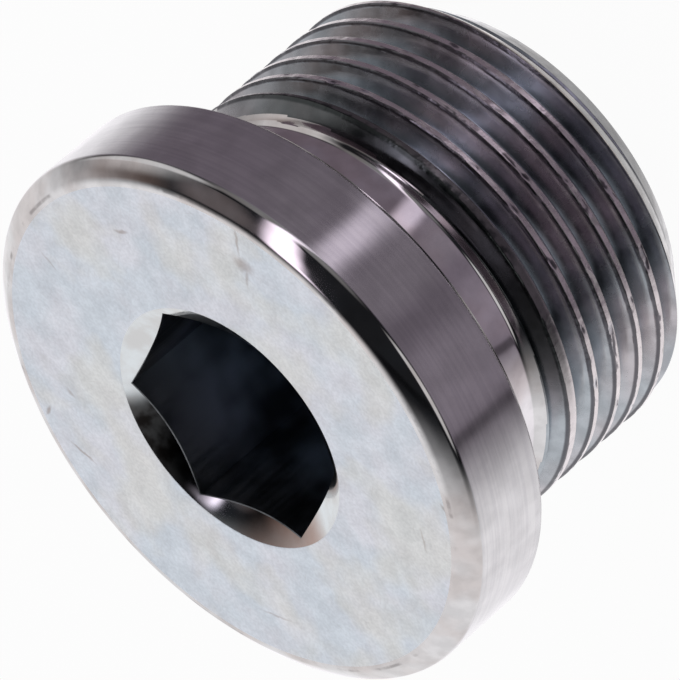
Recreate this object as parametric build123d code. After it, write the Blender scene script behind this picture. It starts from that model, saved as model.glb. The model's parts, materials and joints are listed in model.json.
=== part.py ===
from build123d import *
import os
from math import pi, sin, sqrt, tan

# A hexagon socket screw plug, M22 x 1.5 with a collar, turned from bar in one piece.
# It stands head up: +Z is its axis, and z = 0 is the collar's sealing face, where the
# plug meets the port that it closes. All sizes are millimetres.

# Collar
collar_diameter = 26.9
collar_thickness = 5.0
crown_chamfer_width = 0.9      # radially, round the flat that the key enters
crown_chamfer_drop = 0.64      # along the axis
crown_edge_radius = 0.8        # where the chamfer runs into the crown's flat
rim_edge_radius = 0.3         # where it meets the rim
seat_edge_break = 0.4          # at 45 degrees, round the sealing face

# Undercut between the sealing face and the thread, so that the collar can seat
undercut_depth = 1.0           # below the thread's major diameter
undercut_width = 3.4           # the straight neck, from the sealing face
undercut_corner_radius = 0.8   # where the neck meets the sealing face
runout_angle = 45              # slope of the ramp from the neck up to the thread
runout_corner_radius = 0.3     # where the neck runs into that ramp

# Shank, out to the crests of its fine thread
thread_diameter = 22.0
shank_length = 14.0            # from the sealing face to the end face
lead_chamfer_depth = 1.8       # radially, at the end face
lead_chamfer_length = 2.05     # along the axis

# Hexagon socket
key_size = 10.0
key_clearance = 0.05           # across the flats, so that the key slips in
socket_depth = 7.5             # full hexagon, from the crown
mouth_overcut = 0.38           # how far the countersink reaches past the corners
mouth_angle = 120              # countersink's included angle
pilot_clearance = 0.05         # the pilot drill stays this much inside the flats
pilot_runout = 0.9             # full drill diameter left below the hexagon
drill_point_angle = 118

# Worked out from the sizes above
collar_radius = collar_diameter / 2
crown_radius = collar_radius - crown_chamfer_width
thread_radius = thread_diameter / 2
neck_radius = thread_radius - undercut_depth
runout_length = undercut_depth / tan(runout_angle * pi / 180)
across_flats = key_size + key_clearance
corner_radius = across_flats / sqrt(3)
mouth_radius = corner_radius + mouth_overcut
pilot_radius = across_flats / 2 - pilot_clearance
z_crown = collar_thickness
z_neck_end = -undercut_width
z_thread_start = z_neck_end - runout_length
z_end_face = -shank_length
z_thread_end = z_end_face + lead_chamfer_length
z_hexagon_floor = z_crown - socket_depth


def half_section():
    """The blank's outline to one side of the axis, crown to end face."""
    crown_edge = (crown_radius, z_crown)
    collar_top = (collar_radius, z_crown - crown_chamfer_drop)
    collar_bottom = (collar_radius, seat_edge_break)
    seat_outer = (collar_radius - seat_edge_break, 0)
    seat_inner = (neck_radius + undercut_corner_radius, 0)
    neck_top = (neck_radius, -undercut_corner_radius)
    neck_bottom = (neck_radius, z_neck_end)
    thread_top = (thread_radius, z_thread_start)
    thread_bottom = (thread_radius, z_thread_end)
    end_edge = (thread_radius - lead_chamfer_depth, z_end_face)

    # the corner arc bulges towards the axis and the sealing face alike
    slack = undercut_corner_radius * (1 - sin(pi / 4))
    corner_middle = (neck_radius + slack, -slack)

    with BuildSketch(Plane.XZ) as section:
        with BuildLine():
            Polyline((0, z_crown), crown_edge, collar_top, collar_bottom, seat_outer, seat_inner)
            ThreePointArc(seat_inner, corner_middle, neck_top)
            Polyline(neck_top, neck_bottom, thread_top, thread_bottom, end_edge, (0, z_end_face))
            Line((0, z_end_face), (0, z_crown))
        make_face()
        rounded = (
            (crown_edge, crown_edge_radius),
            (collar_top, rim_edge_radius),
            (neck_bottom, runout_corner_radius),
        )
        for corner, radius in rounded:
            fillet(section.vertices().sort_by_distance(corner)[0], radius)
    return section.sketch


def turned_blank():
    """Collar, neck and shank in one turning."""
    return revolve(half_section(), Axis.Z)


def pilot_drilling():
    """The drilled hole that the hexagon is broached into, with the drill's point below."""
    z_shoulder = z_hexagon_floor - pilot_runout
    point_length = pilot_radius / tan(drill_point_angle / 2 * pi / 180)
    with BuildSketch(Plane.XZ) as section:
        with BuildLine():
            Polyline(
                (0, z_crown),
                (pilot_radius, z_crown),
                (pilot_radius, z_shoulder),
                (0, z_shoulder - point_length),
                close=True,
            )
        make_face()
    return revolve(section.sketch, Axis.Z)


def hexagon_broaching():
    """The key's hexagon, with two corners on the X axis."""
    with BuildSketch(Plane.XY.offset(z_hexagon_floor)) as hexagon:
        RegularPolygon(corner_radius, 6)
    return extrude(hexagon.sketch, socket_depth)


def mouth_countersink():
    """A shallow cone that breaks the hexagon's edges, so the key finds its way in."""
    half_angle = mouth_angle / 2 * pi / 180
    with BuildSketch(Plane.XZ) as section:
        with BuildLine():
            Polyline(
                (0, z_crown),
                (mouth_radius, z_crown),
                (0, z_crown - mouth_radius / tan(half_angle)),
                close=True,
            )
        make_face()
    return revolve(section.sketch, Axis.Z)


def plug_body():
    plug = turned_blank() - pilot_drilling() - hexagon_broaching() - mouth_countersink()
    plug.label = "plug_body"
    return plug


os.makedirs("parts", exist_ok=True)
export_step(plug_body(), "parts/plug_body.step")
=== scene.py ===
# Hexagon socket screw plug, turned from steel bar and zinc plated. One piece, standing on its end.
import json
import math

import bmesh
import bpy
from mathutils import Matrix, Vector, noise


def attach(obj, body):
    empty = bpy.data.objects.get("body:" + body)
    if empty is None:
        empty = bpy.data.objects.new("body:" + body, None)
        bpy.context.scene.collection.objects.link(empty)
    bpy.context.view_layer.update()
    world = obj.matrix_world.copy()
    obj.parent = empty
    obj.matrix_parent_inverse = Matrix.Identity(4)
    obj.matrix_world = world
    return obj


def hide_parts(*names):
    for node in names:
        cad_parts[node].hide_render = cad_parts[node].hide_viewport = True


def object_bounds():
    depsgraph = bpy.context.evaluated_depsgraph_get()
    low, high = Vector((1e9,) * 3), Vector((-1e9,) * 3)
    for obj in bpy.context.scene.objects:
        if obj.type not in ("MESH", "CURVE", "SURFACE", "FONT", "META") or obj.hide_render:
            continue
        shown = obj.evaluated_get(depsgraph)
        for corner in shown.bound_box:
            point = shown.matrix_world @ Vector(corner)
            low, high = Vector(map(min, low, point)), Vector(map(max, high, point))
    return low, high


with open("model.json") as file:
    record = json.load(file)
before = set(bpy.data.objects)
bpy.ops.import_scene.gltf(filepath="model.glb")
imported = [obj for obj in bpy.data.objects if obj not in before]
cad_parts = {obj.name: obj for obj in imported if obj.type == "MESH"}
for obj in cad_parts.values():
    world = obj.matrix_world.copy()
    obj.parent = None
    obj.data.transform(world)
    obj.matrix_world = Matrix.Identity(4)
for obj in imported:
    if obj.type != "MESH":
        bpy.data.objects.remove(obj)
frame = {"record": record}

mm = 0.001
cadLow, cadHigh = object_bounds()
mounts = {m["name"]: m for m in frame["record"]["mounts"]}


def makeLinear(hexColour):  # "#rrggbb" to linear r, g, b, 1
    channels = [int(hexColour[i:i + 2], 16) / 255 for i in (1, 3, 5)]
    linear = [c / 12.92 if c <= 0.04045 else ((c + 0.055) / 1.055) ** 2.4 for c in channels]
    return (*linear, 1.0)


def cosine(degrees):
    return math.cos(math.radians(degrees))


def sine(degrees):
    return math.sin(math.radians(degrees))


def addNode(tree, kind, settings=None, **inputs):
    # settings are the node's own options. An input is given by its name, or as i and its number, and is
    # a value, another node's socket, or another node, which stands for the first output it has in use.
    node = tree.nodes.new(kind)
    for name, value in (settings or {}).items():
        setattr(node, name, value)
    for name, value in inputs.items():
        entry = node.inputs[int(name[1:]) if name[1:].isdigit() else name.replace("_", " ")]
        if isinstance(value, bpy.types.Node):
            value = next(output for output in value.outputs if output.enabled)
        if isinstance(value, bpy.types.NodeSocket):
            tree.links.new(value, entry)
        elif isinstance(value, tuple):
            entry.default_value = value[:len(entry.default_value)]
        else:
            entry.default_value = value
    return node


# ---- the plug ----

plug = {
    "columns": 360,             # steps round the axis, so a hexagon corner falls on a step
    "crownChamfer": (0.9, 0.64),    # across and down, mm
    "crownEdge": 0.8,           # radius where the chamfer runs into the crown
    "chamferCrown": (0.46, 0.3, 4.0),   # the chamfer bulges a little: across, down, radius
    "rimEdge": 0.35,            # radius between chamfer and rim
    "seatBreak": (0.4, 0.36),   # across and up
    "neckRadius": 10.0,
    "neckLength": 3.4,
    "neckFillet": 0.8,
    "rampAngle": 45.0,
    "rampCorner": 0.2,          # radius where the neck runs into the ramp
    "firstTooth": 0.22,         # how much wider the first tooth is on its collar side
    "firstToothHeights": (-5.0, -4.5),      # where that starts, and where it is full
    "leadChamfer": (1.8, 2.05),
    "pitch": 1.5,
    "rootRadius": 10.08,        # thread's core
    "crestWidth": 0.28,
    "crestAt": (-84.3, -7.72),  # a crest's angle and height
    "edgeSoftness": 0.09,       # how far a thread edge is rounded
    "blankSoftness": 0.06,      # and an edge of the blank it is cut in
    "edgeRows": 0.055,          # how far off a thread edge the rows that round it stand
    "rootRows": (0.06, 0.12),   # rows this far off a root's middle
    "crestWear": 0.05,          # deepest dent along a thread's crest, mm
    "wornFrom": 0.25,           # dents reach this far below the crest
    "keyFlats": 10.05,
    "mouthRadius": 6.18,
    "mouthSlope": 30.0,         # the countersink's fall, degrees
    "lip": 0.03,                # how wide the edges round the mouth are
    "socketDepth": 7.5,
    "pilotRadius": 4.975,
    "pilotEnd": 0.9,            # full drill diameter left below the hexagon
    "drillPoint": 118.0,
    "socketRow": 3.5,           # below the crown, where the socket's flats are divided
    "shankMiddle": -8.0,        # the ramp is above this height, the lead chamfer below
    "sharpAbove": 27.0,         # edges steeper than this stay sharp, degrees
}
crownFinish, rimFinish, fineFinish, mouthFinish, edgeHighlightFinish, threadFinish, socketFinish = range(7)

collarRadius = cadHigh.x / mm
crownZ = cadHigh.z / mm
endZ = cadLow.z / mm
threadRadius = mounts["thread"]["dims"]["r_mm"]
rampSlope = math.tan(math.radians(plug["rampAngle"]))
rampEnd = -plug["neckLength"] - (threadRadius - plug["neckRadius"]) / rampSlope
columnAngles = [2 * math.pi * i / plug["columns"] for i in range(plug["columns"])]


def roundCorners(corners, steps=7):
    # corners are (radius, height, edge radius); each rounded one becomes an arc of points
    points = []
    for i, (r, z, edge) in enumerate(corners):
        here = Vector((r, z))
        if edge == 0 or i in (0, len(corners) - 1):
            points.append((r, z))
            continue
        back = (Vector(corners[i - 1][:2]) - here).normalized()
        ahead = (Vector(corners[i + 1][:2]) - here).normalized()
        halfAngle = back.angle(ahead) / 2
        centre = here + (back + ahead).normalized() * edge / math.sin(halfAngle)
        start = here + back * edge / math.tan(halfAngle) - centre
        end = here + ahead * edge / math.tan(halfAngle) - centre
        for k in range(steps + 1):
            spoke = start.slerp(end, k / steps).normalized() * edge
            points.append(tuple(centre + spoke))
    return points


def hexagonRadius(angle):
    fromFlat = (angle % (math.pi / 3)) - math.pi / 6
    return plug["keyFlats"] / 2 / math.cos(fromFlat)


def crestNear(angle):
    # the height of the crest at an angle, in the turn that passes crestAt
    crestAngle, crestHeight = plug["crestAt"]
    return crestHeight + (math.degrees(angle) - crestAngle) / 360 * plug["pitch"]


def blankRadius(z):
    # the shank before its thread is cut: neck, ramp, crest cylinder, lead chamfer
    slope = math.radians(plug["rampAngle"])
    corner = plug["rampCorner"]
    softness = plug["blankSoftness"]
    drop, length = plug["leadChamfer"]
    if z < plug["shankMiddle"]:
        return softMinimum(threadRadius, threadRadius - drop + (z - endZ) * drop / length, softness)
    below = -plug["neckLength"] + corner * math.tan(slope / 2) - z
    if below < 0:
        return plug["neckRadius"]
    if below < corner * math.sin(slope):
        return plug["neckRadius"] + corner - math.sqrt(corner ** 2 - below ** 2)
    ramp = plug["neckRadius"] - (plug["neckLength"] + z) * rampSlope
    return softMinimum(threadRadius, ramp, softness)


def toothRadius(offset, widened=0.0):
    # the cut thread's radius at a distance along the axis from a crest's middle
    pitch = plug["pitch"]
    steep = math.tan(math.radians(60))
    fromCrest = (offset + pitch / 2) % pitch - pitch / 2
    upperFlank = threadRadius - (fromCrest % pitch - plug["crestWidth"] / 2 - widened) * steep
    fromCrest = abs(fromCrest)
    flank = threadRadius - (fromCrest - plug["crestWidth"] / 2) * steep
    apex = threadRadius - (pitch / 2 - plug["crestWidth"] / 2) * steep
    rootArc = plug["rootRadius"] - apex      # radius of the root's round, for 60 degree flanks
    fromRoot = pitch / 2 - fromCrest
    if fromRoot < rootArc * math.cos(math.radians(30)):
        flank = plug["rootRadius"] + rootArc - math.sqrt(rootArc ** 2 - fromRoot ** 2)
    if widened > 0:
        flank = max(flank, upperFlank)
    return min(threadRadius, flank)


def softMinimum(a, b, softness):
    overlap = max(softness - abs(a - b), 0) / softness
    return min(a, b) - overlap * overlap * softness / 4


def widening(z):
    # beside the ramp the thread's first groove is narrower, so its first tooth is wider
    start, full = plug["firstToothHeights"]
    return plug["firstTooth"] * min(max((z - start) / (full - start), 0), 1)


def shankRadius(z, crestZ):
    return softMinimum(blankRadius(z), toothRadius(z - crestZ, widening(z)), plug["edgeSoftness"])


def crestDent(angle, z):
    # small flats and dents where the crests have knocked against other plugs
    place = Vector((threadRadius * math.cos(angle), threadRadius * math.sin(angle), z * 1.6))
    long = noise.noise(place * 0.9)
    short = noise.noise(place * 2.3 + Vector((7, 3, 1)))
    return plug["crestWear"] * min(max(0.25 + long * 0.7 + short * 0.9, 0), 1)


def flankCrossing(crestZ, side):
    # where the flank on one side of a crest comes out of the blank, or the crest's own edge
    near, far = plug["crestWidth"] / 2, plug["pitch"] / 2 - plug["rootRows"][1]
    for _ in range(24):
        middle = (near + far) / 2
        z = crestZ + side * middle
        if toothRadius(side * middle, widening(z)) > blankRadius(z) - 0.003:
            near = middle
        else:
            far = middle
    return crestZ + side * (near + far) / 2


def toothHeights(crestZ):
    # rows over one tooth, from the root below it to just under the next root
    low, high = flankCrossing(crestZ, -1), flankCrossing(crestZ, 1)
    half = plug["pitch"] / 2
    nearRoot, offRoot = plug["rootRows"]
    edge = min(plug["edgeRows"], (high - low) * 0.25)
    lowFoot, highFoot = crestZ - half + offRoot, crestZ + half - offRoot
    # where the crest cylinder gives way to the lead chamfer or the ramp
    knee = rampEnd if crestZ > plug["shankMiddle"] else endZ + plug["leadChamfer"][1]
    knee = min(max(knee, low + 2 * edge), high - 2 * edge)
    aroundEdge = (-1, -0.33, 0.33, 1)
    rows = [crestZ - half, crestZ - half + nearRoot, lowFoot, lowFoot + (low - lowFoot) * 0.5]
    rows += [max(low + share * edge, lowFoot + 0.001) for share in aroundEdge]
    rows += [knee - edge * 0.7, knee, knee + edge * 0.7]
    rows += [min(high + share * edge, highFoot - 0.001) for share in aroundEdge]
    rows += [highFoot + (high - highFoot) * 0.5, highFoot, crestZ + half - nearRoot]
    return rows


def addRing(bm, radius, height):
    # radius and height are numbers, or functions of the angle
    ring = []
    for angle in columnAngles:
        r = radius(angle) if callable(radius) else radius
        z = height(angle) if callable(height) else height
        ring.append(bm.verts.new((r * math.cos(angle) * mm, r * math.sin(angle) * mm, z * mm)))
    return ring


def bridge(bm, inner, outer, finish):
    count = len(inner)
    for i in range(count):
        k = (i + 1) % count
        face = bm.faces.new((inner[i], outer[i], outer[k], inner[k]))
        face.material_index = finish


def closeRing(bm, ring, height, finish, facingUp):
    middle = bm.verts.new((0, 0, height * mm))
    count = len(ring)
    for i in range(count):
        a, b = ring[i], ring[(i + 1) % count]
        face = bm.faces.new((middle, a, b) if facingUp else (middle, b, a))
        face.material_index = finish


def buildSocket(bm):
    mouthSlope = math.tan(math.radians(plug["mouthSlope"]))
    edge = plug["lip"]
    floorZ = crownZ - plug["socketDepth"]
    shoulderZ = floorZ - plug["pilotEnd"]
    pointZ = shoulderZ - plug["pilotRadius"] / math.tan(math.radians(plug["drillPoint"] / 2))

    def lip(inward):
        def height(angle):
            return crownZ - (plug["mouthRadius"] - hexagonRadius(angle)) * mouthSlope - inward
        return height

    shoulder = addRing(bm, plug["pilotRadius"], shoulderZ)
    closeRing(bm, shoulder, pointZ, socketFinish, True)
    rings = [
        (addRing(bm, plug["pilotRadius"], floorZ), socketFinish),
        (addRing(bm, hexagonRadius, floorZ), socketFinish),
        (addRing(bm, hexagonRadius, crownZ - plug["socketRow"]), socketFinish),
        (addRing(bm, hexagonRadius, lip(edge)), socketFinish),
        (addRing(bm, lambda a: hexagonRadius(a) + edge, lip(-edge * mouthSlope)), socketFinish),
        (addRing(bm, plug["mouthRadius"] - edge, crownZ - edge * mouthSlope), mouthFinish),
        (addRing(bm, plug["mouthRadius"] + edge, crownZ), crownFinish),
    ]
    last = shoulder
    for ring, finish in rings:
        bridge(bm, last, ring, finish)
        last = ring
    return last


def buildCollar(bm, mouth):
    across, down = plug["crownChamfer"]
    bulge = plug["chamferCrown"]
    seatAcross, seatUp = plug["seatBreak"]
    neck = plug["neckRadius"]
    corners = [
        (plug["mouthRadius"] + plug["lip"], crownZ, 0),
        (collarRadius - across, crownZ, plug["crownEdge"]),
        (collarRadius - across + bulge[0], crownZ - bulge[1], bulge[2]),
        (collarRadius, crownZ - down, plug["rimEdge"]),
        (collarRadius, seatUp, 0.14),
        (collarRadius - seatAcross, 0, 0.06),
        (neck, 0, plug["neckFillet"]),
        (neck, -plug["neckLength"] + 0.35, 0),
    ]
    profile = roundCorners(corners)[1:]
    profile += [(neck, -plug["neckLength"] + 0.35 - step * 0.06) for step in range(1, 10)]
    last = mouth
    for r, z in profile:
        if z < -1:
            r = lambda angle: shankRadius(z, crestNear(angle))
        ring = addRing(bm, r, z)
        finish = fineFinish
        if z > crownZ - 0.002:
            finish = crownFinish
        elif seatUp + 0.045 < z < crownZ - down - 0.1:
            finish = rimFinish
        elif seatUp - 0.06 < z < seatUp + 0.1:
            finish = edgeHighlightFinish
        bridge(bm, last, ring, finish)
        last = ring
    return last, profile[-1][1]


def buildThread(bm, neckRing, topZ):
    # every tooth has the same rows in every column, and a column's rows join the next column's.
    # Going once round, tooth k becomes tooth k + 1, so the last column joins the first one tooth up.
    pitch = plug["pitch"]
    bottomZ = endZ + plug["leadChamfer"][1] * 0.3
    first = math.floor((bottomZ - crestNear(0)) / pitch) - 2
    last = math.ceil((topZ - crestNear(0)) / pitch) + 1
    columns = []
    for i, angle in enumerate(columnAngles):
        column = []
        for k in range(first, last + 1):
            crestZ = crestNear(angle) + k * pitch
            for z in toothHeights(crestZ):
                kept = min(max(z, bottomZ), topZ)
                if kept == topZ:
                    vert = neckRing[i]
                elif column and kept == bottomZ:
                    vert = column[-1]
                else:
                    r = shankRadius(kept, crestZ)
                    if r > threadRadius - plug["wornFrom"] and kept < rampEnd:
                        r = min(r, threadRadius - crestDent(angle, kept))
                    vert = bm.verts.new((r * math.cos(angle) * mm, r * math.sin(angle) * mm, kept * mm))
                column.append(vert)
        columns.append(column)
    rowsPerTooth = len(toothHeights(0))
    count = len(columns)
    for i in range(count):
        nextColumn = columns[(i + 1) % count]
        shift = rowsPerTooth if i == count - 1 else 0
        for row in range(len(columns[i]) - 1):
            if row + 1 + shift >= len(nextColumn):
                break
            corners = [columns[i][row], nextColumn[row + shift]]
            corners += [nextColumn[row + 1 + shift], columns[i][row + 1]]
            corners = [v for n, v in enumerate(corners) if v not in corners[:n]]
            if len(corners) > 2:
                face = bm.faces.new(corners)
                onRamp = max(v.co.z for v in corners) > -(plug["neckLength"] + 0.35) * mm
                face.material_index = fineFinish if onRamp else threadFinish
    return [column[0] for column in columns], bottomZ


def buildEnd(bm, chamferRing, bottomZ):
    drop, length = plug["leadChamfer"]
    corners = [
        (blankRadius(bottomZ), bottomZ, 0),
        (threadRadius - drop, endZ, 0.08),
        (1.0, endZ, 0),
    ]
    last = chamferRing
    for r, z in roundCorners(corners)[1:]:
        ring = addRing(bm, r, z)
        bridge(bm, last, ring, threadFinish)
        last = ring
    closeRing(bm, last, endZ, threadFinish, False)


def buildPlug():
    bm = bmesh.new()
    mouth = buildSocket(bm)
    neckRing, topZ = buildCollar(bm, mouth)
    chamferRing, bottomZ = buildThread(bm, neckRing, topZ)
    buildEnd(bm, chamferRing, bottomZ)
    bmesh.ops.recalc_face_normals(bm, faces=bm.faces)
    mesh = bpy.data.meshes.new("turnedPlug")
    bm.to_mesh(mesh)
    bm.free()
    mesh.polygons.foreach_set("use_smooth", [True] * len(mesh.polygons))
    mesh.set_sharp_from_angle(angle=math.radians(plug["sharpAbove"]))
    piece = bpy.data.objects.new("turnedPlug", mesh)
    bpy.context.scene.collection.objects.link(piece)
    return piece


print("building the plug")
turnedPlug = buildPlug()
weighted = turnedPlug.modifiers.new("flatFacesStayFlat", "WEIGHTED_NORMAL")
weighted.keep_sharp = True
weighted.weight = 80
print("plug:", len(turnedPlug.data.vertices), "points,", len(turnedPlug.data.polygons), "faces")


# ---- finishes ----

smooth = {"interpolation_type": "SMOOTHSTEP"}
blend = {"data_type": "RGBA"}


def startFinish(name):
    material = bpy.data.materials.new(name)
    material.use_nodes = True
    material.node_tree.nodes.clear()
    return material, material.node_tree


def placeInMm(tree):
    place = addNode(tree, "ShaderNodeTexCoord").outputs["Object"]
    return addNode(tree, "ShaderNodeVectorMath", {"operation": "SCALE"}, i0=place, i3=1 / mm)


def distanceFromAxis(tree, place):
    flat = addNode(tree, "ShaderNodeVectorMath", {"operation": "MULTIPLY"}, i0=place, i1=(1, 1, 0))
    return addNode(tree, "ShaderNodeVectorMath", {"operation": "LENGTH"}, i0=flat)


def patches(tree, place, size, low, high, detail=2.0):
    # soft patches about size mm across, as a value that goes from low to high
    cloud = addNode(tree, "ShaderNodeTexNoise", Vector=place, Scale=1 / size, Detail=detail)
    return addNode(tree, "ShaderNodeMapRange", smooth, i0=cloud, i1=0.34, i2=0.66, i3=low, i4=high)


def onSide(tree, place, azimuth, full, gone):
    # 1 on one side of the axis, fading between two angles off that side
    outwards = addNode(tree, "ShaderNodeVectorMath", {"operation": "MULTIPLY"}, i0=place, i1=(1, 1, 0))
    outwards = addNode(tree, "ShaderNodeVectorMath", {"operation": "NORMALIZE"}, i0=outwards)
    side = (cosine(azimuth), sine(azimuth), 0)
    facing = addNode(tree, "ShaderNodeVectorMath", {"operation": "DOT_PRODUCT"}, i0=outwards, i1=side)
    return addNode(
        tree, "ShaderNodeMapRange", smooth, i0=facing, i1=cosine(gone), i2=cosine(full), i3=0.0, i4=1.0)


def toolLines(tree, place, feed, run):
    # what a lathe tool leaves: lines round the axis, one feed apart, that fade out after a run.
    # Height and distance from the axis both count, so one pattern covers faces, cones and cylinders.
    radius = distanceFromAxis(tree, place)
    across = addNode(tree, "ShaderNodeMath", {"operation": "DIVIDE"}, i0=radius, i1=feed)
    stretched = addNode(
        tree, "ShaderNodeVectorMath", {"operation": "MULTIPLY"}, i0=place,
        i1=(1 / run, 1 / run, 1 / feed))
    return addNode(
        tree, "ShaderNodeTexNoise", {"noise_dimensions": "4D"}, Vector=stretched, W=across,
        Scale=1.0, Detail=2.0)


def hairlines(tree, place, turn, length, gap):
    # fine scratches that all run one way
    turned = addNode(
        tree, "ShaderNodeMapping", {"vector_type": "TEXTURE"},
        Vector=place, Rotation=(0, 0, math.radians(turn)), Scale=(length, gap, gap))
    lines = addNode(tree, "ShaderNodeTexNoise", Vector=turned, Scale=1.0, Detail=1.0)
    return addNode(tree, "ShaderNodeMapRange", smooth, i0=lines, i1=0.70, i2=0.78, i3=0.0, i4=1.0)


def finishMetal(tree, colour, roughness, height, depth, smear):
    # depth is the pattern's height in mm
    bump = addNode(tree, "ShaderNodeBump", Strength=1.0, Distance=depth * mm, Height=height)
    shader = addNode(
        tree, "ShaderNodeBsdfPrincipled", Base_Color=colour, Metallic=1.0, Roughness=roughness,
        Normal=bump)
    if smear:
        # turned metal smears a reflection across its tool lines
        around = addNode(tree, "ShaderNodeTangent", {"direction_type": "RADIAL", "axis": "Z"})
        shader.inputs["Anisotropic"].default_value = smear
        shader.inputs["Anisotropic Rotation"].default_value = 0.25
        tree.links.new(around.outputs[0], shader.inputs["Tangent"])
    addNode(tree, "ShaderNodeOutputMaterial", Surface=shader)


crown = {
    "blue": "#d2d8e0",
    "lilac": "#dadae1",
    "cream": "#dddbd7",
    "cloudSize": 3.0,       # mm
    "roughness": (0.30, 0.38),
    "crystal": 0.16,        # zinc's own grain, mm; drawn coarser than it is to show
    "feed": 0.22,           # from one tool line to the next, mm
    "run": 9.0,             # how far round a line goes before it fades, mm
    "depth": 0.0008,        # height of that grain, mm
    "lines": 0.4,           # tool lines, as a share of it
    "sunk": 2.0,            # and how many times deeper a mark is
    "wander": 0.16,         # how far a mark's outline strays, mm
    "faint": 0.14,          # how dark a hairline is
    "hairlines": [(35, 2.2, 0.05), (-48, 1.6, 0.05), (80, 1.2, 0.04)],     # turn, length, gap
    "markColour": "#866a58",
    # knocks from other plugs: x, y, turn, length, width, how dark
    "marks": [
        (0.2, 11.0, 33, 1.9, 0.22, 0.45),
        (2.5, 11.6, -60, 0.9, 0.26, 0.5),
        (3.1, 9.3, 20, 0.7, 0.28, 0.35),
        (10.0, -0.9, 75, 1.0, 0.24, 0.45),
        (7.3, -7.6, 45, 1.4, 1.0, 0.45),
        (6.9, -7.5, -40, 2.2, 0.2, 0.35),
        (8.4, -8.1, -32, 1.9, 0.2, 0.4),
        (-5.6, -11.0, 10, 0.9, 0.26, 0.45),
        (-9.2, 4.6, 62, 2.2, 0.16, 0.3),
        (-6.8, -8.4, -25, 1.7, 0.16, 0.3),
        (-5.5, 6.2, 0, 1.3, 0.9, 0.12),
        (9.4, 5.2, 15, 1.5, 0.16, 0.25),
    ],
}


def knocks(tree, place):
    # every mark is a soft ellipse on the crown, with an outline that wanders a little
    wander = crown["wander"]
    wobble = addNode(tree, "ShaderNodeTexNoise", Vector=place, Scale=3.0, Detail=2.0).outputs["Color"]
    moved = addNode(
        tree, "ShaderNodeVectorMath", {"operation": "MULTIPLY_ADD"}, i0=wobble, i2=place,
        i1=(wander, wander, 0))
    share = 0.0
    for x, y, turn, length, width, dark in crown["marks"]:
        own = addNode(
            tree, "ShaderNodeMapping", {"vector_type": "TEXTURE"}, Vector=moved,
            Location=(x + wander / 2, y + wander / 2, crownZ),
            Rotation=(0, 0, math.radians(turn)), Scale=(length / 2, width / 2, 0.2))
        reach = addNode(tree, "ShaderNodeVectorMath", {"operation": "LENGTH"}, i0=own)
        mark = addNode(tree, "ShaderNodeMapRange", smooth, i0=reach, i1=0.2, i2=1.1, i3=dark, i4=0.0)
        share = addNode(tree, "ShaderNodeMath", {"operation": "MAXIMUM"}, i0=share, i1=mark)
    return share


def buildFacedZinc():
    # blue passivated zinc over a faced steel end: pale, cold satin white, faint clouds, small marks
    material, tree = startFinish("zincFacedCrown")
    place = placeInMm(tree)
    clouds = patches(tree, place, crown["cloudSize"], 0.0, 1.0, 4.0)
    warmth = patches(tree, place, crown["cloudSize"] * 1.6, -0.7, 0.7, 3.0)
    colour = addNode(
        tree, "ShaderNodeMix", blend, i0=clouds, i6=makeLinear(crown["blue"]),
        i7=makeLinear(crown["lilac"]))
    colour = addNode(tree, "ShaderNodeMix", blend, i0=warmth, i6=colour, i7=makeLinear(crown["cream"]))
    crystals = addNode(tree, "ShaderNodeTexNoise", Vector=place, Scale=1 / crown["crystal"], Detail=3.0)
    speckle = addNode(tree, "ShaderNodeMapRange", smooth, i0=crystals, i1=0.3, i2=0.7, i3=0.94, i4=1.05)
    soiled = patches(tree, place, 0.9, 0.94, 1.03, 4.0)
    speckle = addNode(tree, "ShaderNodeMath", {"operation": "MULTIPLY"}, i0=speckle, i1=soiled)
    colour = addNode(tree, "ShaderNodeVectorMath", {"operation": "SCALE"}, i0=colour, i3=speckle)
    share = knocks(tree, place)
    for turn, length, gap in crown["hairlines"]:
        lines = hairlines(tree, place, turn, length, gap)
        share = addNode(
            tree, "ShaderNodeMath", {"operation": "MULTIPLY_ADD"}, i0=lines, i1=crown["faint"],
            i2=share)
    colour = addNode(
        tree, "ShaderNodeMix", blend, i0=share, i6=colour, i7=makeLinear(crown["markColour"]))
    low, high = crown["roughness"]
    roughness = patches(tree, place, 1.2, low, high)
    lines = toolLines(tree, place, crown["feed"], crown["run"])
    height = addNode(
        tree, "ShaderNodeMath", {"operation": "MULTIPLY_ADD"}, i0=lines, i1=crown["lines"],
        i2=crystals)
    height = addNode(
        tree, "ShaderNodeMath", {"operation": "MULTIPLY_ADD"}, i0=share, i1=-crown["sunk"], i2=height)
    finishMetal(tree, colour, roughness, height, crown["depth"], 0.0)
    return material


rim = {
    "bright": "#cdcccb",
    "dull": "#c4c3c3",
    "feed": 0.16,
    "run": 7.0,
    "roughness": (0.12, 0.17),
    "depth": 0.00008,       # height of the tool lines, mm
    "smear": 0.85,          # how far a reflection is drawn out across them
}


def buildTurnedZinc():
    # zinc over turned steel: fine lines round the rim and a reflection smeared across them
    material, tree = startFinish("zincTurnedRim")
    place = placeInMm(tree)
    lines = toolLines(tree, place, rim["feed"], rim["run"])
    share = addNode(tree, "ShaderNodeMapRange", smooth, i0=lines, i1=0.35, i2=0.65, i3=0.0, i4=1.0)
    colour = addNode(
        tree, "ShaderNodeMix", blend, i0=share, i6=makeLinear(rim["dull"]),
        i7=makeLinear(rim["bright"]))
    clouds = patches(tree, place, 1.5, 0.91, 1.06, 5.0)
    colour = addNode(tree, "ShaderNodeVectorMath", {"operation": "SCALE"}, i0=colour, i3=clouds)
    low, high = rim["roughness"]
    roughness = patches(tree, place, 2.0, low, high, 4.0)
    finishMetal(tree, colour, roughness, lines, rim["depth"], rim["smear"])
    return material


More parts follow.
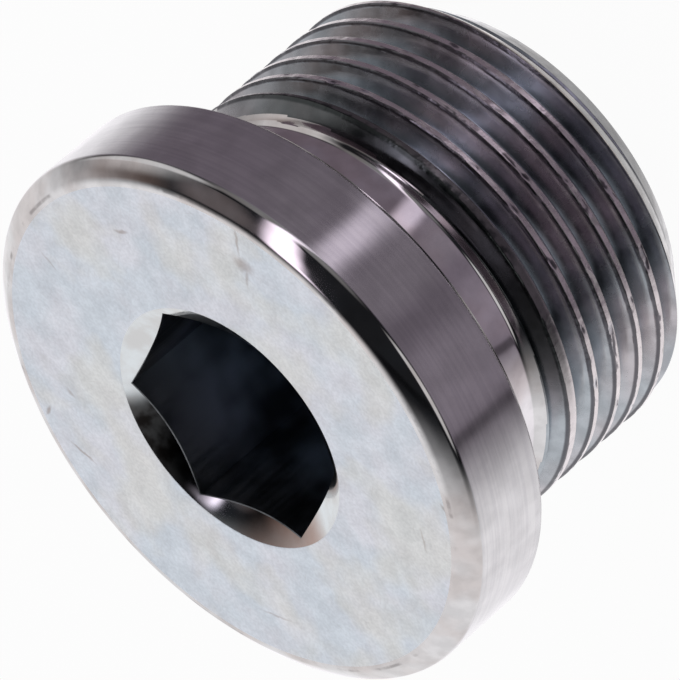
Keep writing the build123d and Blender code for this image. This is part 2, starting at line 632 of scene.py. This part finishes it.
fineTurning = {
    "colour": "#d9d6d7",
    "stained": "#c3b8b5",
    "dirt": "#5b5352",
    "feed": 0.12,
    "run": 10.0,
    "roughness": (0.06, 0.11),
    "depth": 0.00006,
    "smear": 0.6,
}


def buildFineZinc():
    # zinc over a finely turned chamfer and neck: close to a mirror, so it shows the room's darks
    material, tree = startFinish("zincFineTurned")
    place = placeInMm(tree)
    lines = toolLines(tree, place, fineTurning["feed"], fineTurning["run"])
    stain = patches(tree, place, 2.2, 0.0, 0.6, 2.0)
    colour = addNode(
        tree, "ShaderNodeMix", blend, i0=stain, i6=makeLinear(fineTurning["colour"]),
        i7=makeLinear(fineTurning["stained"]))
    clouds = patches(tree, place, 0.9, 0.92, 1.06, 4.0)
    colour = addNode(tree, "ShaderNodeVectorMath", {"operation": "SCALE"}, i0=colour, i3=clouds)
    # dashes of dirt are caught where the crown's faced surface ends
    fromEdge = addNode(
        tree, "ShaderNodeMath", {"operation": "SUBTRACT"},
        i0=distanceFromAxis(tree, place), i1=collarRadius - plug["crownChamfer"][0] + 0.02)
    fromEdge = addNode(tree, "ShaderNodeMath", {"operation": "ABSOLUTE"}, i0=fromEdge)
    caught = addNode(tree, "ShaderNodeMapRange", smooth, i0=fromEdge, i1=0.03, i2=0.12, i3=1.0, i4=0.0)
    dashes = addNode(tree, "ShaderNodeTexNoise", Vector=place, Scale=0.7, Detail=4.0)
    dashes = addNode(tree, "ShaderNodeMapRange", smooth, i0=dashes, i1=0.50, i2=0.66, i3=0.0, i4=0.5)
    caught = addNode(tree, "ShaderNodeMath", {"operation": "MULTIPLY"}, i0=caught, i1=dashes)
    colour = addNode(
        tree, "ShaderNodeMix", blend, i0=caught, i6=colour, i7=makeLinear(fineTurning["dirt"]))
    low, high = fineTurning["roughness"]
    roughness = patches(tree, place, 1.5, low, high)
    finishMetal(tree, colour, roughness, lines, fineTurning["depth"], fineTurning["smear"])
    return material


countersink = {
    "bright": "#dde1e4",
    "stained": "#d0cfcf",
    "roughness": (0.05, 0.09),
    "feed": 0.12,
    "run": 4.0,
    "depth": 0.0004,
    # colour laid on one side of the mouth: azimuth, full to, gone by, share, colour
    "tints": [
        # painted dark reflection: near black on this side of the mouth
        (96, 22, 34, 1.0, "#221f1e"),
        (170, 18, 34, 0.85, "#a98d82"),
    ],
}


def buildMouthZinc():
    # the countersink round the socket is cut, not faced: glossier than the crown, with stains, browner
    # on one side, and a painted dark reflection on another
    material, tree = startFinish("zincCutMouth")
    place = placeInMm(tree)
    stain = patches(tree, place, 1.4, 0.0, 1.0, 3.0)
    colour = addNode(
        tree, "ShaderNodeMix", blend, i0=stain, i6=makeLinear(countersink["bright"]),
        i7=makeLinear(countersink["stained"]))
    # each entry colours one side of the mouth; the near black one is a painted dark reflection
    for azimuth, full, gone, most, tint in countersink["tints"]:
        uneven = patches(tree, place, 0.9, 0.9, 1.0, 3.0)
        share = onSide(tree, place, azimuth, full, gone)
        share = addNode(tree, "ShaderNodeMath", {"operation": "MULTIPLY"}, i0=share, i1=uneven)
        share = addNode(tree, "ShaderNodeMath", {"operation": "MULTIPLY"}, i0=share, i1=most)
        colour = addNode(tree, "ShaderNodeMix", blend, i0=share, i6=colour, i7=makeLinear(tint))
    low, high = countersink["roughness"]
    roughness = patches(tree, place, 0.8, low, high)
    lines = toolLines(tree, place, countersink["feed"], countersink["run"])
    finishMetal(tree, colour, roughness, lines, countersink["depth"], 0.0)
    return material


# painted highlight: the edge is coloured lighter than the rim so it shows as a thin light line;
# roughness and patches are rub wear
seatEdgeHighlight = {
    "colour": "#ece8ea",
    "roughness": (0.42, 0.55),
    "depth": 0.0004,
}


def buildRubbedHighlightZinc():
    # the collar's lower edge, rubbed rough by handling and painted near white as a thin painted
    # highlight line
    material, tree = startFinish("zincRubbedEdgeHighlight")
    place = placeInMm(tree)
    wear = patches(tree, place, 0.8, 0.6, 1.0, 4.0)
    colour = addNode(
        tree, "ShaderNodeVectorMath", {"operation": "SCALE"}, i0=makeLinear(seatEdgeHighlight["colour"]),
        i3=wear)
    low, high = seatEdgeHighlight["roughness"]
    roughness = patches(tree, place, 0.5, low, high)
    finishMetal(tree, colour, roughness, wear, seatEdgeHighlight["depth"], 0.0)
    return material


thread = {
    "blue": "#b3b8be",
    "pink": "#bdb7bb",
    # painted shade in the thread's roots
    "root": "#9aa0a8",
    # painted highlight: the crest flats are coloured lighter
    "flat": "#d6cfce",
    "shadow": "#4c4a50",
    # painted highlight: near white laid along the crests' lower edges
    "edge": "#fffaf6",
    "feed": 0.09,
    "run": 3.0,
    "roughness": (0.18, 0.28),
    "edgeRoughness": 0.45,
    "crestBelow": (0.2, 0.12),      # how far below the top a crest's finish starts, and is full, mm
    "flatBelow": (0.07, 0.02),
    "burr": 25,             # how much deeper the dents of a crest are than those of a flank
    # painted shade: near black green laid in the first groove, where the collar overhangs it
    "grooveShade": "#343a38",
    "grooveShadeHeights": (-5.1, -4.75),    # where it starts and where it is full
    "grooveShadeSide": (-63, 42, 72),       # the side the painted shade is on, and the angles off it: full, gone
    "depth": 0.0005,
}


def buildCutZinc():
    # zinc over a cut thread: dark blue flanks scored by the die, crests rubbed rough along their lower
    # edges with a thin painted highlight line there, painted lighter crest flats, and painted shade on
    # the crests' upper edges, in the roots and in the first groove
    material, tree = startFinish("zincCutThread")
    place = placeInMm(tree)
    radius = distanceFromAxis(tree, place)
    starts, full = (threadRadius - depth for depth in thread["crestBelow"])
    nearCrest = addNode(
        tree, "ShaderNodeMapRange", smooth, i0=radius, i1=starts, i2=full, i3=0.0, i4=1.0)
    # painted highlight: the crest flat is painted lighter than the flanks
    starts, full = (threadRadius - depth for depth in thread["flatBelow"])
    onCrestFlatHighlight = addNode(
        tree, "ShaderNodeMapRange", smooth, i0=radius, i1=starts, i2=full, i3=0.0, i4=1.0)
    # a crest's two edges are told apart by which way they face: the lower one gets a painted highlight
    # line, the upper one painted shade
    uneven = patches(tree, place, 0.5, -0.05, 0.05, 3.0)
    facing = addNode(tree, "ShaderNodeNewGeometry").outputs["Normal"]
    facing = addNode(tree, "ShaderNodeSeparateXYZ", Vector=facing).outputs["Z"]
    facing = addNode(tree, "ShaderNodeMath", {"operation": "ADD"}, i0=facing, i1=uneven)
    downFacingEdge = addNode(tree, "ShaderNodeMapRange", smooth, i0=facing, i1=-0.14, i2=0.0, i3=1.0, i4=0.0)
    onHighlightEdge = addNode(tree, "ShaderNodeMath", {"operation": "MULTIPLY"}, i0=downFacingEdge, i1=nearCrest)
    shaded = addNode(tree, "ShaderNodeMapRange", smooth, i0=facing, i1=0.03, i2=0.12, i3=0.0, i4=0.85)
    shaded = addNode(tree, "ShaderNodeMath", {"operation": "MULTIPLY"}, i0=shaded, i1=nearCrest)
    # painted shade: the roots are painted darker, fading out 0.4 mm up the flanks
    outOfRootShade = addNode(
        tree, "ShaderNodeMapRange", smooth,
        i0=radius, i1=plug["rootRadius"], i2=plug["rootRadius"] + 0.4, i3=0.0, i4=1.0)
    tint = patches(tree, place, 5.0, 0.0, 1.0)
    colour = addNode(
        tree, "ShaderNodeMix", blend, i0=tint, i6=makeLinear(thread["blue"]),
        i7=makeLinear(thread["pink"]))
    colour = addNode(tree, "ShaderNodeMix", blend, i0=outOfRootShade, i6=makeLinear(thread["root"]), i7=colour)
    stain = patches(tree, place, 1.2, 0.82, 1.07, 4.0)
    colour = addNode(tree, "ShaderNodeVectorMath", {"operation": "SCALE"}, i0=colour, i3=stain)
    colour = addNode(tree, "ShaderNodeMix", blend, i0=onCrestFlatHighlight, i6=colour, i7=makeLinear(thread["flat"]))
    colour = addNode(
        tree, "ShaderNodeMix", blend, i0=shaded, i6=colour, i7=makeLinear(thread["shadow"]))
    glint = patches(tree, place, 1.2, 0.6, 1.0, 3.0)
    shine = addNode(
        tree, "ShaderNodeVectorMath", {"operation": "SCALE"}, i0=makeLinear(thread["edge"]), i3=glint)
    colour = addNode(tree, "ShaderNodeMix", blend, i0=onHighlightEdge, i6=colour, i7=shine)
    low, high = thread["roughness"]
    roughness = patches(tree, place, 0.8, low, high)
    roughness = addNode(tree, "ShaderNodeMix", i0=onHighlightEdge, i2=roughness, i3=thread["edgeRoughness"])
    # painted shade in the groove where the thread starts, on one side of the plug
    start = addNode(tree, "ShaderNodeSeparateXYZ", Vector=place).outputs["Z"]
    start = addNode(
        tree, "ShaderNodeMapRange", smooth, i0=start,
        i1=thread["grooveShadeHeights"][0], i2=thread["grooveShadeHeights"][1], i3=0.0, i4=0.8)
    side = onSide(tree, place, *thread["grooveShadeSide"])
    grooveShadeShare = addNode(tree, "ShaderNodeMath", {"operation": "MULTIPLY"}, i0=start, i1=side)
    colour = addNode(tree, "ShaderNodeMix", blend, i0=grooveShadeShare, i6=colour, i7=makeLinear(thread["grooveShade"]))
    lines = toolLines(tree, place, thread["feed"], thread["run"])
    dents = addNode(tree, "ShaderNodeTexNoise", Vector=place, Scale=1 / 0.25, Detail=2.0)
    height = addNode(tree, "ShaderNodeMath", {"operation": "MULTIPLY_ADD"}, i0=lines, i1=0.4, i2=dents)
    burrs = patches(tree, place, 0.9, 0.0, thread["burr"], 3.0)
    height = addNode(
        tree, "ShaderNodeMath", {"operation": "MULTIPLY_ADD"}, i0=burrs, i1=nearCrest, i2=height)
    finishMetal(tree, colour, roughness, height, thread["depth"], 0.0)
    return material


socket = {
    # painted shade: the mouth colour is the darker one
    "mouth": "#76787b",
    "deep": "#8b939d",
    "roughness": (0.28, 0.40),
    "stroke": (0.18, 5.0),      # a broach mark's width and length, mm
    "depth": 0.0004,
}


def buildBroachedZinc():
    # thin zinc in a broached hole: near black, painted darker towards the mouth as painted shade, with
    # a painted blue sheen in patches on the flats and faint marks down them
    material, tree = startFinish("zincBroachedSocket")
    place = placeInMm(tree)
    height = addNode(tree, "ShaderNodeSeparateXYZ", Vector=place).outputs["Z"]
    # painted shade: the walls go darker towards the mouth
    near = addNode(
        tree, "ShaderNodeMapRange", smooth, i0=height, i1=crownZ - 5.0, i2=crownZ - 0.8, i3=0.0, i4=1.0)
    colour = addNode(
        tree, "ShaderNodeMix", blend, i0=near, i6=makeLinear(socket["deep"]),
        i7=makeLinear(socket["mouth"]))
    # painted blue sheen: lighter blue patches that stand for a reflection
    sheen = patches(tree, place, 3.4, 0.3, 1.7, 2.0)
    colour = addNode(tree, "ShaderNodeVectorMath", {"operation": "SCALE"}, i0=colour, i3=sheen)
    width, length = socket["stroke"]
    strokes = addNode(
        tree, "ShaderNodeVectorMath", {"operation": "MULTIPLY"}, i0=place,
        i1=(1 / width, 1 / width, 1 / length))
    drag = addNode(tree, "ShaderNodeTexNoise", Vector=strokes, Scale=1.0, Detail=2.0)
    low, high = socket["roughness"]
    roughness = addNode(tree, "ShaderNodeMapRange", smooth, i0=drag, i1=0.35, i2=0.65, i3=low, i4=high)
    finishMetal(tree, colour, roughness, drag, socket["depth"], 0.0)
    return material


print("finishing the plug")
# in the order of the numbers that the faces carry
finishes = (
    buildFacedZinc,
    buildTurnedZinc,
    buildFineZinc,
    buildMouthZinc,
    buildRubbedHighlightZinc,
    buildCutZinc,
    buildBroachedZinc,
)
for buildFinish in finishes:
    turnedPlug.data.materials.append(buildFinish())

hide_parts("plug_body")
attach(turnedPlug, "root")


# ---- camera ----

camera = {
    "aim": (0.098, -1.010, -1.569),    # mm
    "distance": 430.8,
    "azimuth": -73.31,      # direction from the plug to the camera, degrees from +X
    "elevation": 32.38,
    "roll": -130.51,
    "lens": 530.4,
}


def aimed(azimuth, elevation):
    azimuth, elevation = math.radians(azimuth), math.radians(elevation)
    level = math.cos(elevation)
    return level * math.cos(azimuth), level * math.sin(azimuth), math.sin(elevation)


def placeCamera():
    toCamera = Vector(aimed(camera["azimuth"], camera["elevation"]))
    data = bpy.data.cameras.new("plugCamera")
    data.lens = camera["lens"]
    data.sensor_width = 36
    data.clip_start, data.clip_end = 0.05, 20
    viewer = bpy.data.objects.new("plugCamera", data)
    level = (-toCamera).to_track_quat("-Z", "Y").to_matrix().to_4x4()
    place = Matrix.Translation(Vector(camera["aim"]) * mm + toCamera * camera["distance"] * mm)
    viewer.matrix_world = place @ level @ Matrix.Rotation(math.radians(camera["roll"]), 4, "Z")
    bpy.context.scene.collection.objects.link(viewer)
    bpy.context.scene.camera = viewer


print("placing the camera")
placeCamera()


# ---- studio ----

floorPaper = {
    "size": 12.0,           # m
    "colour": "#eeeeee",
    "glow": 0.96,           # how much of the paper the camera sees as plain white
    "gap": 0.02,            # under the plug's end, mm, so the two faces never lie in one plane
}


def buildFloor():
    size = floorPaper["size"] / 2
    bm = bmesh.new()
    corners = [bm.verts.new((x * size, y * size, 0)) for x, y in ((-1, -1), (1, -1), (1, 1), (-1, 1))]
    bm.faces.new(corners)
    mesh = bpy.data.meshes.new("studioFloor")
    bm.to_mesh(mesh)
    bm.free()
    floor = bpy.data.objects.new("studioFloor", mesh)
    floor.location.z = cadLow.z - floorPaper["gap"] * mm
    bpy.context.scene.collection.objects.link(floor)
    material, tree = startFinish("whitePaper")
    seen = addNode(tree, "ShaderNodeLightPath").outputs["Is Camera Ray"]
    paper = addNode(tree, "ShaderNodeBsdfDiffuse", Color=makeLinear(floorPaper["colour"]))
    glow = addNode(tree, "ShaderNodeEmission", Strength=1.0)
    white = addNode(tree, "ShaderNodeMixShader", i0=floorPaper["glow"], i1=paper, i2=glow)
    shown = addNode(tree, "ShaderNodeMixShader", i0=seen, i1=paper, i2=white)
    addNode(tree, "ShaderNodeOutputMaterial", Surface=shown)
    mesh.materials.append(material)
    floor.visible_glossy = False


print("building the studio")
buildFloor()

studio = {
    "white": 1.0,       # what shows behind the plug
    # name, azimuth from +X, elevation, angle it is full to, angle it has faded by, level, colour.
    # A level below 0 darkens what stands above it in the list, by that share.
    "glows": [
        ("backWall", 134, -5, 54, 92, 0.95, "#fdfeff"),
        ("table", 0, -90, 62, 84, 0.20, "#f2dff5"),
        ("tableGlow", -113, -32, 4, 20, 0.12, "#f2e6f6"),
        ("tableSpot", -71, -32, 2, 12, 0.07, "#f6f0f6"),
        ("leftScreen", -108, 17, 13, 27, 0.70, "#ffffff"),
        ("rightScreen", 27, 15, 14, 32, 0.70, "#ffffff"),
        ("farScreen", -33, 8, 20, 42, 0.22, "#ffffff"),
        ("rightCeiling", 25, 55, 2, 14, 0.15, "#fbeef0"),
        ("rightCorner", 52, 34, 3, 17, 0.10, "#ffd8c6"),
        ("room", -73, 60, 90, 150, 0.018, "#e6efff"),
        ("underTable", 0, -90, 30, 54, -0.85, "#ffffff"),
        ("farTable", 107, -57, 14, 30, 0.50, "#fff8f0"),
    ],
    # a long strip light, as a band of the sphere round the plug
    "stripFacing": (-130.1, 14.1),      # square to the band's plane
    "stripEdges": (-7.0, -2.0, 2.4, 7.4),   # degrees off that plane: starts, full, full to, gone
    "stripMiddle": (-40.0, 0.0),
    "stripEnd": (98.0, 87.0),       # degrees from its middle: gone, full
    "stripLevels": (0.70, 2.2),         # at its foot and at its top
    "stripColour": "#f3e8f8",
    # a dark post that stands beside the wall
    "postAzimuth": -133.5,
    "postWidth": (1.2, 3.2),
    "postDark": 0.6,
}


def addGlow(tree, direction, glow, soFar):
    name, azimuth, elevation, full, faded, level, colour = glow
    facing = addNode(
        tree, "ShaderNodeVectorMath", {"operation": "DOT_PRODUCT"}, i0=direction,
        i1=aimed(azimuth, elevation))
    if level < 0:
        kept = addNode(
            tree, "ShaderNodeMapRange", smooth, i0=facing, i1=cosine(faded), i2=cosine(full),
            i3=1.0, i4=1.0 + level)
        return addNode(tree, "ShaderNodeVectorMath", {"operation": "SCALE"}, i0=soFar, i3=kept)
    share = addNode(
        tree, "ShaderNodeMapRange", smooth, i0=facing, i1=cosine(faded), i2=cosine(full), i3=0.0,
        i4=level)
    return addNode(
        tree, "ShaderNodeVectorMath", {"operation": "MULTIPLY_ADD"}, i0=share,
        i1=makeLinear(colour), i2=soFar)


def addStrip(tree, direction, soFar):
    off = addNode(
        tree, "ShaderNodeVectorMath", {"operation": "DOT_PRODUCT"}, i0=direction,
        i1=aimed(*studio["stripFacing"]))
    along = addNode(
        tree, "ShaderNodeVectorMath", {"operation": "DOT_PRODUCT"}, i0=direction,
        i1=aimed(*studio["stripMiddle"]))
    height = addNode(tree, "ShaderNodeSeparateXYZ", Vector=direction).outputs["Z"]
    starts, full, fullTo, gone = (sine(a) for a in studio["stripEdges"])
    ends, whole = (cosine(a) for a in studio["stripEnd"])
    foot, top = studio["stripLevels"]
    factors = [
        addNode(tree, "ShaderNodeMapRange", smooth, i0=off, i1=starts, i2=full, i3=0.0, i4=1.0),
        addNode(tree, "ShaderNodeMapRange", smooth, i0=off, i1=fullTo, i2=gone, i3=1.0, i4=0.0),
        addNode(tree, "ShaderNodeMapRange", smooth, i0=along, i1=ends, i2=whole, i3=0.0, i4=1.0),
        addNode(tree, "ShaderNodeMapRange", smooth, i0=height, i1=-0.6, i2=0.9, i3=foot, i4=top),
    ]
    band = factors[0]
    for factor in factors[1:]:
        band = addNode(tree, "ShaderNodeMath", {"operation": "MULTIPLY"}, i0=band, i1=factor)
    return addNode(
        tree, "ShaderNodeVectorMath", {"operation": "MULTIPLY_ADD"},
        i0=band, i1=makeLinear(studio["stripColour"]), i2=soFar)


def addPost(tree, direction, soFar):
    across = addNode(
        tree, "ShaderNodeVectorMath", {"operation": "DOT_PRODUCT"},
        i0=direction, i1=aimed(studio["postAzimuth"] + 90, 0))
    across = addNode(tree, "ShaderNodeMath", {"operation": "ABSOLUTE"}, i0=across)
    ahead = addNode(
        tree, "ShaderNodeVectorMath", {"operation": "DOT_PRODUCT"}, i0=direction,
        i1=aimed(studio["postAzimuth"], 0))
    ahead = addNode(
        tree, "ShaderNodeMapRange", smooth, i0=ahead, i1=0.0, i2=0.2, i3=0.0, i4=studio["postDark"])
    narrow, wide = (sine(a) for a in studio["postWidth"])
    inside = addNode(tree, "ShaderNodeMapRange", smooth, i0=across, i1=narrow, i2=wide, i3=1.0, i4=0.0)
    share = addNode(tree, "ShaderNodeMath", {"operation": "MULTIPLY"}, i0=inside, i1=ahead)
    kept = addNode(tree, "ShaderNodeMath", {"operation": "SUBTRACT"}, i0=1.0, i1=share)
    return addNode(tree, "ShaderNodeVectorMath", {"operation": "SCALE"}, i0=soFar, i3=kept)


def buildWorld():
    world = bpy.data.worlds.new("studio")
    bpy.context.scene.world = world
    world.use_nodes = True
    tree = world.node_tree
    tree.nodes.clear()
    direction = addNode(tree, "ShaderNodeTexCoord").outputs["Generated"]
    light = addNode(tree, "ShaderNodeCombineXYZ")
    for glow in studio["glows"]:
        light = addGlow(tree, direction, glow, light)
    light = addPost(tree, direction, light)
    light = addStrip(tree, direction, light)
    seen = addNode(tree, "ShaderNodeLightPath").outputs["Is Camera Ray"]
    lit = addNode(tree, "ShaderNodeBackground", Color=light, Strength=1.0)
    white = addNode(tree, "ShaderNodeBackground", Color=(1, 1, 1, 1), Strength=studio["white"])
    shown = addNode(tree, "ShaderNodeMixShader", i0=seen, i1=lit, i2=white)
    addNode(tree, "ShaderNodeOutputWorld", Surface=shown)


buildWorld()

scene = bpy.context.scene
scene.view_settings.view_transform = "Standard"
